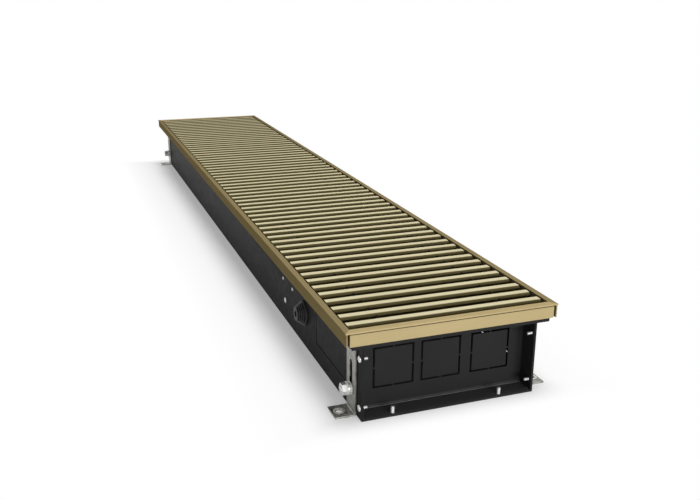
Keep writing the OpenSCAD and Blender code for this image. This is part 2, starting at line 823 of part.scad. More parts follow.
vent_y = y_at(tube_start) - tube_pitch_x / 2;
vent_top = tube_high_z + tube_r + vent_h;

module air_vent_body() color(brass_col) difference() {
  union() {
    translate([coil_x, vent_y, tube_high_z]) rod(vent_r, vent_top - tube_high_z);
    translate([coil_x, vent_y, vent_top - vent_cap_h])
      cylinder(r = vent_cap_af / sqrt(3), h = vent_cap_h, $fn = hex_fn);
  }
  translate([coil_x, y_at(tube_start), tube_high_z]) rotate([0, 0, 180])
    rotate_extrude(angle = 180, $fn = 2 * round_fn) translate([tube_pitch_x / 2, 0])
      circle(r = tube_hole_r, $fn = round_fn);
  translate([coil_x, vent_y, vent_top - bleed_depth]) rod(vent_bore_r, bleed_depth + cut_over);
}

module bleed_screw() color(steel_col) translate([coil_x, vent_y, vent_top]) difference() {
  union() {
    translate([0, 0, fit_gap - bleed_depth]) rod(bleed_r, bleed_depth);
    translate([0, 0, fit_gap]) rod(bleed_head_r, bleed_head_h);
  }
  translate([-bleed_head_r - cut_over, -bleed_slot_w / 2, fit_gap + bleed_head_h / 2])
    cube([2 * bleed_head_r + 2 * cut_over, bleed_slot_w, bleed_head_h]);
}

// Drum along +Y from y0 to y1: rings of tilted blades between discs
module drum(y0, y1) {
  len = y1 - y0;
  translate([fan_x, y1, fan_z]) rotate([90, 0, 0]) {
    linear_extrude(height = len) for (i = [0:blade_count - 1]) rotate(i * 360 / blade_count)
      translate([drum_r - blade_depth, 0]) rotate(blade_tilt) square([blade_depth * blade_share, blade_t]);
    for (z = [0, (len - disc_t) / 2, len - disc_t]) translate([0, 0, z]) rod(drum_r, disc_t);
  }
}

// Hub on the motor side, bored for the shaft
module drum_hub(y) y_rod(fan_x, y, fan_z, hub_r, hub_len);

module fan_drum_near() color(black_col) difference() {
  union() {
    drum(y_at(drum_near_start), y_at(drum_near_end));
    drum_hub(y_at(drum_near_end) - hub_len);
    y_rod(fan_x, y_at(drum_near_start) - stub_len, fan_z, stub_r, stub_len);
  }
  y_rod(fan_x, y_at(drum_near_end) - hub_len + cut_over, fan_z, shaft_r + run_gap / 2, hub_len + cut_over);
}

module fan_drum_far() color(black_col) difference() {
  union() {
    drum(y_at(drum_far_start), y_at(drum_far_end));
    drum_hub(y_at(drum_far_start));
    y_rod(fan_x, y_at(drum_far_end), fan_z, stub_r, stub_len);
  }
  y_rod(fan_x, y_at(drum_far_start) - 2 * cut_over, fan_z, shaft_r + run_gap / 2, hub_len + cut_over);
}

shaft_reach = motor_len / 2 + motor_gap + hub_len - 2 * cut_over;

module motor_shaft() color(steel_col)
  y_rod(fan_x, y_at(motor_at) - shaft_reach, fan_z, shaft_r, 2 * shaft_reach);

module fan_motor() color(grey_col) difference() {
  start = y_at(motor_at) - motor_len / 2;
  union() {
    y_rod(fan_x, start + motor_cap_t, fan_z, motor_d / 2, motor_len - 2 * motor_cap_t);
    y_rod(fan_x, start, fan_z, motor_cap_r, motor_len);
  }
  y_rod(fan_x, start - cut_over, fan_z, shaft_r + run_gap, motor_len + 2 * cut_over);
}

// Two webs with round cradles for the motor, on a base plate
module motor_cradle() color(zinc_col) difference() {
  union() {
    translate([fan_x - motor_d / 2, y_at(motor_at) - cradle_len / 2, sheet_t])
      cube([motor_d, cradle_len, cradle_t]);
    for (side = [-1, 1])
      translate([fan_x - motor_d / 2, y_at(motor_at) + side * cradle_web_at - cradle_t / 2, sheet_t])
        cube([motor_d, cradle_t, fan_z - motor_d * cradle_drop_share - sheet_t]);
  }
  y_rod(fan_x, y_at(motor_at) - motor_len / 2, fan_z, motor_d / 2 + run_gap, motor_len);
}

// Housing of a drum: back sheet, floor and a low front lip
module fan_housing(s0, s1) color(zinc_col) pull_y(y_at(s0), y_at(s1)) {
  translate([housing_back_x, sheet_t]) square([housing_t, housing_back_h - sheet_t]);
  translate([housing_back_x, sheet_t]) square([housing_front_x - housing_back_x, housing_t]);
  translate([housing_front_x - housing_t, sheet_t]) square([housing_t, housing_front_h - sheet_t]);
}

module fan_housing_near() fan_housing(fan_start, housing_near_end);

module fan_housing_far() fan_housing(housing_far_start, fan_stop);

bearing_plate_ys = [y_at(fan_start), y_at(fan_stop - bearing_t)];

module fan_bearing_plates() color(zinc_col) for (y = bearing_plate_ys) difference() {
  base_z = sheet_t + housing_t;
  inside_w = housing_front_x - housing_back_x - 2 * housing_t;
  translate([housing_back_x + housing_t, y, base_z]) cube([inside_w, bearing_t, bearing_plate_top - base_z]);
  y_rod(fan_x, y - cut_over, fan_z, bush_r + run_gap, bearing_t + 2 * cut_over);
}

module fan_bearing_bushes() color(black_col) for (y = bearing_plate_ys) difference() {
  y_rod(fan_x, y + bearing_t / 2 - bush_len / 2, fan_z, bush_r, bush_len);
  y_rod(fan_x, y + bearing_t / 2 - bush_len / 2 - cut_over, fan_z, stub_r + run_gap, bush_len + 2 * cut_over);
}

// Places the children at the lid's four screw posts
module at_posts() {
  inset = box_wall + post_r - post_merge;
  for (x = [box_back_x + inset, box_front_x - inset], s = [box_start + inset, box_end - inset])
    translate([x, y_at(s), 0]) children();
}

module terminal_box() color(black_col) difference() {
  union() {
    difference() {
      translate([box_back_x, y_at(box_start), box_floor_z]) cube([box_w, box_len, box_h]);
      translate([box_back_x + box_wall, y_at(box_start) + box_wall, box_floor_z + box_wall])
        cube([box_w - 2 * box_wall, box_len - 2 * box_wall, box_h]);
    }
    at_posts() translate([0, 0, box_floor_z]) rod(post_r, box_h);
  }
  at_posts() translate([0, 0, box_top_z - lid_screw_len])
    rod(lid_screw_r + run_gap, lid_screw_len + cut_over);
  left_wall_holes(box_back_x, box_wall);
  wall_hole(box_front_x - box_wall, box_wall, y_at(lead_start_at), lead_gland_z, lead_r + run_gap);
}

module terminal_box_lid() color(black_col) difference() {
  translate([box_back_x, y_at(box_start) - lid_over, box_top_z])
    cube([box_w + lid_over, box_len + 2 * lid_over, lid_t]);
  at_posts() translate([0, 0, box_top_z - cut_over]) rod(lid_screw_r + run_gap, lid_t + 2 * cut_over);
}

module terminal_lid_screws() color(steel_col) at_posts() {
  translate([0, 0, box_top_z - lid_screw_len]) rod(lid_screw_r, lid_screw_len + lid_t);
  translate([0, 0, box_top_z + lid_t]) rod(lid_screw_head_r, lid_screw_head_h);
}

// A strip of screw terminals on the box's floor
module terminal_block() color(steel_col) {
  pitch = block_len / block_teeth;
  tooth = pitch * block_tooth_share;
  block_x = (box_back_x + box_front_x - block_w) / 2;
  block_y = y_at((box_start + box_end - block_len) / 2);
  translate([block_x, block_y, box_floor_z + box_wall]) {
    cube([block_w, block_len, block_h / 2]);
    for (i = [0:block_teeth - 1]) translate([0, i * pitch + (pitch - tooth) / 2, block_h / 2])
      cube([block_w, tooth, block_h / 2]);
  }
}

// Stepped rubber grommet, widest at the wall, its steps along +Z
module cable_grommet() color(black_col) on_left_wall(grommet_at, grommet_z) {
  neck = sheet_t + box_wall + grommet_inside;
  length = grommet_base_t + grommet_step_count * grommet_step_len;
  difference() {
    union() {
      rod(grommet_d / 2, grommet_base_t);
      translate([0, 0, -neck]) rod(grommet_neck_r, neck);
      for (i = [0:grommet_step_count - 1]) {
        r = grommet_d / 2 * (1 - (1 - grommet_tip_share) * (i + 1) / grommet_step_count);
        z = grommet_base_t + i * grommet_step_len;
        translate([0, 0, z]) rod(r - grommet_rib, grommet_step_len);
        translate([0, 0, z + grommet_step_len / 2]) rod(r, grommet_step_len / 2);
      }
    }
    translate([0, 0, -neck - cut_over]) rod(grommet_bore / 2, neck + length + 2 * cut_over);
  }
}

// A quarter bend of the lead in the XY plane, from +X to +Y
module lead_quarter() rotate_extrude(angle = 90, $fn = 2 * round_fn)
  translate([lead_bend, 0]) circle(r = lead_r, $fn = round_fn);

// The motor's lead, from the terminal box along the housing to the underside of the motor
module motor_lead() color(black_col) {
  y0 = y_at(lead_start_at);
  y1 = y_at(motor_at);
  bend_x = lead_x - lead_bend;
  gland_x = box_front_x - box_wall;
  motor_x = fan_x + motor_d * lead_end_share;
  x_rod(gland_x, y0, lead_gland_z, lead_r, bend_x - gland_x);
  translate([bend_x, y0 + lead_bend, lead_gland_z]) rotate([0, 0, -90]) lead_quarter();
  y_rod(lead_x, y0 + lead_bend, lead_gland_z, lead_r, y1 - y0 - 2 * lead_bend);
  translate([bend_x, y1 - lead_bend, lead_gland_z]) lead_quarter();
  x_rod(motor_x, y1, lead_gland_z, lead_r, bend_x - motor_x);
}

// A place on the left wall, outwards along +Z
module on_left_wall(s, z) translate([-casing_w / 2, y_at(s), z]) rotate([0, -90, 0]) children();

module wall_rivets() color(steel_col) for (s = rivet_ats) on_left_wall(s, rivet_z) {
  translate([0, 0, -sheet_t - box_wall]) rod(rivet_shank_r, sheet_t + box_wall);
  cylinder(r1 = rivet_r, r2 = rivet_shank_r, h = rivet_h, $fn = round_fn);
}

module wall_screw() color(steel_col) on_left_wall(wall_screw_at, wall_screw_z) {
  translate([0, 0, -sheet_t - box_wall]) rod(screw_r, sheet_t + box_wall);
  pan_head();
}

casing_trough();
near_end_panel();
far_end_panel();
cross_braces();
frame_left();
frame_right();
frame_near();
frame_far();
frame_corner_angles();
grille_rest_strips();
grille_bars();
grille_rods();
grille_spacers();
end_panel_screws();
floor_screws();
bracket_near_left();
bracket_near_right();
bracket_far_left();
bracket_far_right();
bracket_studs();
bracket_washers();
bracket_spring_washers();
bracket_nuts();
exchanger_fins();
exchanger_tubes();
exchanger_end_plates();
exchanger_supports();
far_return_bends();
near_return_bend();
supply_fitting();
return_fitting();
air_vent_body();
bleed_screw();
fan_drum_near();
fan_drum_far();
motor_shaft();
fan_motor();
motor_cradle();
fan_housing_near();
fan_housing_far();
fan_bearing_plates();
fan_bearing_bushes();
terminal_box();
terminal_box_lid();
terminal_lid_screws();
terminal_block();
cable_grommet();
motor_lead();
wall_rivets();
wall_screw();
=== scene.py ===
"""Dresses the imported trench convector: camera, studio, materials and detailed small pieces.

Metres. The origin is the bottom centre, the near end faces -Y and Z is up.
"""

import json
import math

import bmesh
import bpy
from mathutils import Matrix, Vector

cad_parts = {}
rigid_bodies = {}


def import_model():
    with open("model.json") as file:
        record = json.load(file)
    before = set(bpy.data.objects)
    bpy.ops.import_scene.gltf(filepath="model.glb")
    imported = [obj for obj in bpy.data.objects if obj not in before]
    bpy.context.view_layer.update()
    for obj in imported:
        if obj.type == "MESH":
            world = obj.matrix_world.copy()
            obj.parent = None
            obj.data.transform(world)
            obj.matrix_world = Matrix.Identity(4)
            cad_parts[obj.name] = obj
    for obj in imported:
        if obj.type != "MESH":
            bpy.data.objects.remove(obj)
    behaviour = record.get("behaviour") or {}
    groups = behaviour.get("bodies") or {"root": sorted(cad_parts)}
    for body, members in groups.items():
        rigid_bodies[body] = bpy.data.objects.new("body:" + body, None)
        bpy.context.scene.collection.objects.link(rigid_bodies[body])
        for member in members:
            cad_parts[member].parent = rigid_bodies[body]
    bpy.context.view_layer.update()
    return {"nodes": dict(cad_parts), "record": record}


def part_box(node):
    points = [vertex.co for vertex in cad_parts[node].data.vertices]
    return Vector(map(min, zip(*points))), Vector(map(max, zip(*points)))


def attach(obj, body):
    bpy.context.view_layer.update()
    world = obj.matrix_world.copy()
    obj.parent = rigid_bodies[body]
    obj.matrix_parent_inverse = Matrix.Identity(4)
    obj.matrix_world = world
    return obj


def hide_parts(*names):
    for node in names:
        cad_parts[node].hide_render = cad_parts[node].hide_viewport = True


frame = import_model()
NODES = frame["nodes"]

MM = 0.001

# Camera, its angles in radians
CAMERA_AT = (-0.3976, -1.4889, 0.4637)
CAMERA_YAW = 0.3485
CAMERA_PITCH = -0.3146
CAMERA_ROLL = 0.0041
CAMERA_LENS_MM = 42.47
SENSOR_MM = 36.0
CLIP_NEAR = 0.01
CLIP_FAR = 50

# How bright the surround is as a light; it is seen and mirrored as white
WORLD_DIM = 0.1
WORLD_WHITE = 1.0

# The floor's paint, and the white added where the floor is seen, near the object and further off
FLOOR_TONE = 0.72
FLOOR_ROUGHNESS = 0.9
FLOOR_LIFT_NEAR = 0.34
FLOOR_LIFT_FAR = 1.0
FLOOR_HALF = 6.0

# How far from the object's middle the floor turns plain white, and over what length
CLEAR_BESIDE = 0.12
FADE_BESIDE = 0.11
CLEAR_AHEAD = 0.715
FADE_AHEAD = 0.05

# Lamps: place, target, width and height, watts, and whether gloss mirrors them
LAMPS = {
    "key": ((0.16, -0.5, 2.4), (0, -0.3, 0), (1.0, 1.0), 40, False),
    "front": ((0.35, -3.2, 0.4), (0, -0.74, 0.06), (1.6, 0.6), 42, True),
    "back": ((0.6, 3.2, 0.4), (0, 0.74, 0.06), (1.6, 0.6), 28, False),
}

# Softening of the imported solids' edges
SMOOTH_ANGLE = math.radians(35)
BEVEL_ANGLE = math.radians(40)
BEVEL_SEGMENTS = 2

# Corners this close are one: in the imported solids, and in the pieces made here
SPLIT_GAP = 1e-6
WELD_GAP = 1e-7

# Corners round a turned piece
ROUND = 48


def add_camera():
    """The camera of the photograph's view."""
    forward = Vector((
        math.sin(CAMERA_YAW) * math.cos(CAMERA_PITCH),
        math.cos(CAMERA_YAW) * math.cos(CAMERA_PITCH),
        math.sin(CAMERA_PITCH),
    ))
    level = Vector((math.cos(CAMERA_YAW), -math.sin(CAMERA_YAW), 0))
    above = level.cross(forward)
    right = math.cos(CAMERA_ROLL) * level + math.sin(CAMERA_ROLL) * above
    up = right.cross(forward)
    data = bpy.data.cameras.new("camera")
    data.sensor_width = SENSOR_MM
    data.lens = CAMERA_LENS_MM
    data.clip_start = CLIP_NEAR
    data.clip_end = CLIP_FAR
    camera = bpy.data.objects.new("camera", data)
    turn = Matrix((right, up, -forward)).transposed().to_4x4()
    camera.matrix_world = Matrix.Translation(CAMERA_AT) @ turn
    bpy.context.scene.collection.objects.link(camera)
    bpy.context.scene.camera = camera


# Materials

ANTHRACITE = (0.028, 0.028, 0.0285)
GOLD = (0.54, 0.43, 0.225)
# The side profiles' gold: a darker copy of the ends' gold, painted shade
SIDE_GOLD_PAINTED_SHADE = (0.33, 0.265, 0.14)
# Bars: a pale gold top that holds a painted highlight, and flanks in painted shade
BAR_GOLD_PAINTED_HIGHLIGHT = (0.78, 0.71, 0.47)
BAR_FLANK_PAINTED_SHADE = (0.10, 0.082, 0.035)
# Grey of the painted highlight along the end panels' folds
FOLD_HIGHLIGHT_GREY = (0.5, 0.5, 0.5)

# How far a satin finish mirrors rather than scatters
SATIN = 0.22

# Gloss of the powder coat
PAINT_GLOSS = 0.03

# How far a bar's face looks up, as its normal's Z, from its flank in painted shade to its top in a pale
# painted highlight
BAR_UP = (0.88, 0.995)

# Heights between which painted shade darkens the end profiles' shadow groove, with the ramps at its edges
GROOVE_RISE = (109.2 * MM, 109.3 * MM)
GROOVE_FALL = (110.45 * MM, 110.5 * MM)
GROOVE_PAINTED_SHADE = 0.25

# Where the trough's hollow ends beside, ahead and below, and how dark the painted shade in it is
INSIDE_X = (107.4 * MM, 107.7 * MM)
INSIDE_Y = (706 * MM, 706.3 * MM)
INSIDE_Z = (1 * MM, 1.15 * MM)
INSIDE_PAINTED_SHADE = 0.6

# How far a face of the casing looks up, as its normal's Z, where dust and painted top light lighten it, and
# by how much
DUST_AND_TOP_LIGHT_UP = (0.3, 0.95)
DUST_AND_TOP_LIGHT_FACTOR = 3.2

# Where a painted highlight runs along the fold at the foot of each end panel, with the ramps at its edges
FOLD_Y_RISE = (708.9 * MM, 709.1 * MM)
FOLD_Y_FALL = (709.8 * MM, 710 * MM)
FOLD_Z_RISE = (2.5 * MM, 2.6 * MM)
FOLD_Z_FALL = (3.6 * MM, 3.8 * MM)

# Sockets of a Mix node that blends colours
MIX_FIRST = 6
MIX_SECOND = 7
MIX_RESULT = 2

# Axes that extrusion lines run along
X_AXIS = 0
Y_AXIS = 1


class Surface:
    """A procedural material while it is being put together."""

    def __init__(self, name, color, metallic, roughness):
        self.material = bpy.data.materials.new(name)
        self.material.use_nodes = True
        self.tree = self.material.node_tree
        self.shader = self.tree.nodes["Principled BSDF"]
        self.shader.inputs["Base Color"].default_value = (*color, 1)
        self.shader.inputs["Metallic"].default_value = metallic
        self.shader.inputs["Roughness"].default_value = roughness
        coordinates = self.tree.nodes.new("ShaderNodeTexCoord").outputs
        self.place = coordinates["Object"]
        self.outward = coordinates["Normal"]
        self.bumped = None

    def add(self, kind, inputs=None, **settings):
        """Adds a node, its inputs set to values or linked to sockets."""
        node = self.tree.nodes.new(kind)
        for key, value in settings.items():
            setattr(node, key, value)
        for key, value in (inputs or {}).items():
            if isinstance(value, bpy.types.NodeSocket):
                self.tree.links.new(value, node.inputs[key])
            else:
                node.inputs[key].default_value = value
        return node

    def calculate(self, operation, *values):
        return self.add("ShaderNodeMath", dict(enumerate(values)), operation=operation).outputs[0]

    def size_of(self, value):
        return self.calculate("ABSOLUTE", value)

    def product(self, first, *others):
        for other in others:
            first = self.calculate("MULTIPLY", first, other)
        return first

    def split(self, vector):
        return self.add("ShaderNodeSeparateXYZ", {"Vector": vector}).outputs

    def noise(self, scale, detail=2.0, stretch=(1, 1, 1)):
        stretched = self.add("ShaderNodeMapping", {"Vector": self.place, "Scale": stretch}).outputs["Vector"]
        inputs = {"Vector": stretched, "Scale": scale, "Detail": detail}
        return self.add("ShaderNodeTexNoise", inputs).outputs["Fac"]

    def cells(self, scale):
        return self.add("ShaderNodeTexVoronoi", {"Vector": self.place, "Scale": scale}).outputs["Color"]

    def span(self, value, low, high, out_low=0, out_high=1):
        """A ramp from out_low at low to out_high at high, level beyond both."""
        inputs = {"Value": value, "From Min": low, "From Max": high, "To Min": out_low, "To Max": out_high}
        return self.add("ShaderNodeMapRange", inputs, clamp=True).outputs["Result"]

    def band(self, value, rise, fall):
        """One between a rising and a falling ramp, nought outside them."""
        return self.product(self.span(value, *rise), self.span(value, *fall, 1, 0))

    def blend(self, factor, first, second):
        node = self.add("ShaderNodeMix", data_type="RGBA")
        self.tree.links.new(factor, node.inputs["Factor"])
        for socket, value in ((node.inputs[MIX_FIRST], first), (node.inputs[MIX_SECOND], second)):
            if isinstance(value, bpy.types.NodeSocket):
                self.tree.links.new(value, socket)
            else:
                socket.default_value = (*value, 1)
        return node.outputs[MIX_RESULT]

    def coat(self):
        """The colour that the shader is given so far."""
        return self.shader.inputs["Base Color"].links[0].from_socket

    def color(self, socket):
        self.tree.links.new(socket, self.shader.inputs["Base Color"])

    def rough(self, socket):
        self.tree.links.new(socket, self.shader.inputs["Roughness"])

    def bump(self, height, depth, strength):
        inputs = {"Height": height, "Distance": depth, "Strength": strength}
        if self.bumped:
            inputs["Normal"] = self.bumped
        self.bumped = self.add("ShaderNodeBump", inputs).outputs["Normal"]
        self.tree.links.new(self.bumped, self.shader.inputs["Normal"])


def shade(color, factor):
    """The colour made darker, or lighter by a factor over 1."""
    return tuple(channel * factor for channel in color)


def powder_coat(name, color, roughness):
    """Paint with a fine orange peel and faint clouds."""
    s = Surface(name, color, metallic=0.0, roughness=roughness)
    s.shader.inputs["Specular IOR Level"].default_value = PAINT_GLOSS
    clouds = s.noise(scale=6, detail=3)
    s.color(s.blend(s.span(clouds, 0.35, 0.65), shade(color, 0.88), shade(color, 1.12)))
    s.rough(s.span(s.noise(scale=90, detail=3), 0.3, 0.7, roughness - 0.05, roughness + 0.06))
    s.bump(s.noise(scale=420), depth=0.05 * MM, strength=0.35)
    s.bump(s.noise(scale=1300), depth=0.03 * MM, strength=0.35)
    return s


def anodised(name, color, roughness, along):
    """Satin anodised aluminium with fine extrusion lines along one axis."""
    s = Surface(name, color, metallic=SATIN, roughness=roughness)
    s.shader.inputs["Specular IOR Level"].default_value = 0.0
    s.shader.inputs["Specular Tint"].default_value = (*color, 1)
    stretch = tuple(0.01 if axis == along else 1.0 for axis in range(3))
    lines = s.noise(scale=1500, detail=3, stretch=stretch)
    clouds = s.noise(scale=9, detail=3)
    tone = s.blend(s.span(clouds, 0.35, 0.65), shade(color, 0.94), shade(color, 1.05))
    s.color(s.blend(s.span(lines, 0.3, 0.7), shade(color, 0.95), tone))
    s.rough(s.span(lines, 0.3, 0.7, roughness - 0.04, roughness + 0.06))
    s.bump(lines, depth=0.03 * MM, strength=0.3)
    s.bump(s.noise(scale=2600), depth=0.015 * MM, strength=0.3)
    return s


def with_painted_groove_shade(name, color, roughness, along):
    """Anodised profile with painted shade in and just under its shadow groove."""
    s = anodised(name, color, roughness, along)
    line = s.band(s.split(s.place)["Z"], GROOVE_RISE, GROOVE_FALL)
    s.color(s.blend(line, s.coat(), shade(color, GROOVE_PAINTED_SHADE)))
    return s


def bars_with_painted_light(name, top, flank, roughness, along):
    """Anodised bars with painted light: a pale painted highlight on top and painted shade down their flanks.
    """
    s = anodised(name, top, roughness, along)
    s.color(s.blend(s.span(s.split(s.outward)["Z"], *BAR_UP), flank, s.coat()))
    return s


def painted_trough(name, color, roughness):
    """Powder coat with painted light: dust and painted top light on faces that look up, a painted highlight
    along the trays' folds and painted shade within the trough.
    """
    s = powder_coat(name, color, roughness)
    x, y, z = s.split(s.place)
    beside = s.size_of(x)
    ahead = s.size_of(y)
    # Painted shade: the coat is darker within the trough's hollow
    inside = s.product(s.span(beside, *INSIDE_X, 1, 0), s.span(ahead, *INSIDE_Y, 1, 0), s.span(z, *INSIDE_Z))
    # Painted highlight along the fold at the foot of each end panel
    fold_highlight = s.product(s.band(ahead, FOLD_Y_RISE, FOLD_Y_FALL), s.band(z, FOLD_Z_RISE, FOLD_Z_FALL))
    # Dust and painted top light: faces that look up are much lighter
    dusted_and_lit = s.span(s.split(s.outward)["Z"], *DUST_AND_TOP_LIGHT_UP)
    tone = s.blend(dusted_and_lit, s.coat(), shade(color, DUST_AND_TOP_LIGHT_FACTOR))
    tone = s.blend(fold_highlight, tone, FOLD_HIGHLIGHT_GREY)
    s.color(s.blend(inside, tone, shade(color, INSIDE_PAINTED_SHADE)))
    return s


def galvanised(name, color, cell):
    """Zinc-coated sheet with spangles of one cell's size."""
    s = Surface(name, color, metallic=0.85, roughness=0.4)
    spangle = s.cells(1 / cell)
    s.color(s.blend(s.span(spangle, 0.2, 0.9), shade(color, 0.68), shade(color, 1.25)))
    s.rough(s.span(spangle, 0.1, 0.9, 0.32, 0.52))
    s.bump(s.noise(scale=700, detail=3), depth=0.04 * MM, strength=0.4)
    return s


def bright_metal(name, color, roughness, grime, metallic=1.0):
    """Plated or bare metal with faint scratches and darker stains."""
    s = Surface(name, color, metallic, roughness)
    stains = s.noise(scale=160, detail=4)
    s.color(s.blend(s.span(stains, 0.35, 0.75), color, shade(color, 1 - grime)))
    s.rough(s.span(stains, 0.3, 0.7, roughness * 0.8, roughness * 1.4))
    s.bump(s.noise(scale=2200, stretch=(1, 1, 0.1)), depth=0.02 * MM, strength=0.4)
    return s


def moulded(name, color, roughness, grain, gloss=0.5):
    """Rubber or plastic with a fine eroded grain."""
    s = Surface(name, color, metallic=0.0, roughness=roughness)
    s.shader.inputs["Specular IOR Level"].default_value = gloss
    s.color(s.blend(s.span(s.noise(scale=70, detail=4), 0.35, 0.7), shade(color, 0.85), shade(color, 1.35)))
    s.rough(s.span(s.noise(scale=160, detail=3), 0.3, 0.7, roughness - 0.06, roughness + 0.08))
    s.bump(s.noise(scale=1 / grain, detail=3), depth=0.06 * MM, strength=0.5)
    return s


# The record's slots, and two more: the end profiles and the grille's spacers
SURFACES = {
    "casing_paint": painted_trough("anthracite powder coat", ANTHRACITE, 0.5),
    # The side profiles take the darker gold: painted shade
    "frame_gold": anodised("gold anodised frame", SIDE_GOLD_PAINTED_SHADE, 0.34, along=Y_AXIS),
    "frame_gold_across": with_painted_groove_shade("gold anodised frame ends", GOLD, 0.34, along=X_AXIS),
    # The bars carry painted light: highlight on top, shade down the flanks
    "bar_gold": bars_with_painted_light("gold anodised bars", BAR_GOLD_PAINTED_HIGHLIGHT, BAR_FLANK_PAINTED_SHADE, 0.2, along=X_AXIS),
    "galvanised": galvanised("galvanised sheet", (0.34, 0.335, 0.31), cell=6 * MM),
    "bright_zinc": bright_metal("bright zinc", (0.92, 0.92, 0.9), 0.25, grime=0.2, metallic=0.45),
    "copper": bright_metal("bare copper", (0.78, 0.38, 0.24), 0.3, grime=0.35),
    "brass": bright_metal("bare brass", (0.78, 0.58, 0.27), 0.28, grime=0.3),
    "graphite_fin": powder_coat("graphite dipped fins", (0.075, 0.075, 0.078), 0.5),
    "black_rubber": moulded("black rubber", (0.018, 0.018, 0.019), 0.55, grain=0.6 * MM),
    "spacer_black": moulded("black spacers", (0.008, 0.0075, 0.006), 0.85, grain=0.5 * MM, gloss=0.02),
    "black_plastic": moulded("black plastic", (0.026, 0.026, 0.028), 0.42, grain=0.5 * MM),
    "drum_plastic": moulded("dark grey plastic", (0.045, 0.045, 0.048), 0.38, grain=0.6 * MM),
    "motor_paint": powder_coat("graphite motor paint", (0.05, 0.05, 0.053), 0.45),
    "graphite_coat": powder_coat("graphite coat", (0.04, 0.04, 0.042), 0.62),
}
MATERIALS = {slot: surface.material for slot, surface in SURFACES.items()}

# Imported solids


def graph_group(name):
    group = bpy.data.node_groups.new(name, "GeometryNodeTree")
    for side in ("INPUT", "OUTPUT"):
        group.interface.new_socket("Geometry", in_out=side, socket_type="NodeSocketGeometry")
    return group, group.nodes.new("NodeGroupInput").outputs[0], group.nodes.new("NodeGroupOutput").inputs[0]


def clean_group():
    """Joins the split corners and drops the imported corner normals."""
    group, start, end = graph_group("clean")
    drop = group.nodes.new("GeometryNodeRemoveAttribute")
    drop.inputs["Name"].default_value = "custom_normal"
    merge = group.nodes.new("GeometryNodeMergeByDistance")
    merge.inputs["Distance"].default_value = SPLIT_GAP
    group.links.new(start, drop.inputs["Geometry"])
    group.links.new(drop.outputs["Geometry"], merge.inputs["Geometry"])
    group.links.new(merge.outputs["Geometry"], end)
    return group


def smooth_group():
    """Smooth shading with sharp edges where faces meet steeply."""
    group, start, end = graph_group("smooth by angle")
    faces = group.nodes.new("GeometryNodeSetShadeSmooth")
    faces.domain = "FACE"
    edges = group.nodes.new("GeometryNodeSetShadeSmooth")
    edges.domain = "EDGE"
    edges.inputs["Shade Smooth"].default_value = False
    angle = group.nodes.new("GeometryNodeInputMeshEdgeAngle")
    steep = group.nodes.new("FunctionNodeCompare")
    steep.operation = "GREATER_THAN"
    steep.inputs[1].default_value = SMOOTH_ANGLE
    group.links.new(angle.outputs["Unsigned Angle"], steep.inputs[0])
    group.links.new(start, faces.inputs["Geometry"])
    group.links.new(faces.outputs["Geometry"], edges.inputs["Geometry"])
    group.links.new(steep.outputs["Result"], edges.inputs["Selection"])
    group.links.new(edges.outputs["Geometry"], end)
    return group


CLEAN = clean_group()
SMOOTH = smooth_group()


def soften(node, width):
    """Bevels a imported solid's edges with modifiers and smooths its shading."""
    thing = NODES[node]
    thing.modifiers.new("clean", "NODES").node_group = CLEAN
    if width:
        bevel = thing.modifiers.new("bevel", "BEVEL")
        bevel.width = width
        bevel.segments = BEVEL_SEGMENTS
        bevel.limit_method = "ANGLE"
        bevel.angle_limit = BEVEL_ANGLE
        bevel.use_clamp_overlap = True
    thing.modifiers.new("smooth", "NODES").node_group = SMOOTH
    weigh = thing.modifiers.new("weigh", "WEIGHTED_NORMAL")
    weigh.keep_sharp = True


def dress(node, material):
    """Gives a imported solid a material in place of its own."""
    slots = NODES[node].data.materials
    slots.clear()
    slots.append(MATERIALS[material])


EDGE_WIDTHS = {
    "casing_trough": 0.35 * MM,
    "near_end_panel": 0.35 * MM,
    "far_end_panel": 0.35 * MM,
    "cross_braces": 0.35 * MM,
    "frame_left": 0.25 * MM,
    "frame_right": 0.25 * MM,
    "frame_near": 0.25 * MM,
    "frame_far": 0.25 * MM,
    "bracket_near_left": 0.3 * MM,
    "bracket_near_right": 0.3 * MM,
    "bracket_far_left": 0.3 * MM,
    "bracket_far_right": 0.3 * MM,
    "grille_bars": 0.2 * MM,
    "terminal_box": 0.4 * MM,
    "terminal_box_lid": 0.5 * MM,
    "terminal_block": 0.4 * MM,
    "supply_fitting": 0.4 * MM,
    "return_fitting": 0.4 * MM,
    "air_vent_body": 0.3 * MM,
    "fan_motor": 0.8 * MM,
}


def dress_solids():
    for part in frame["record"]["subparts"]:
        node = part["node"]
        dress(node, part["material_slot"])
        soften(node, EDGE_WIDTHS.get(node, 0))
    dress("frame_near", "frame_gold_across")
    dress("frame_far", "frame_gold_across")
    dress("grille_spacers", "spacer_black")


# Detailed fasteners and rubber, in the places of the plain solids. Lengths are in metres, and a place on
# one side is mirrored for the other. Thread depths and points are in pitches, and outlines in shares.

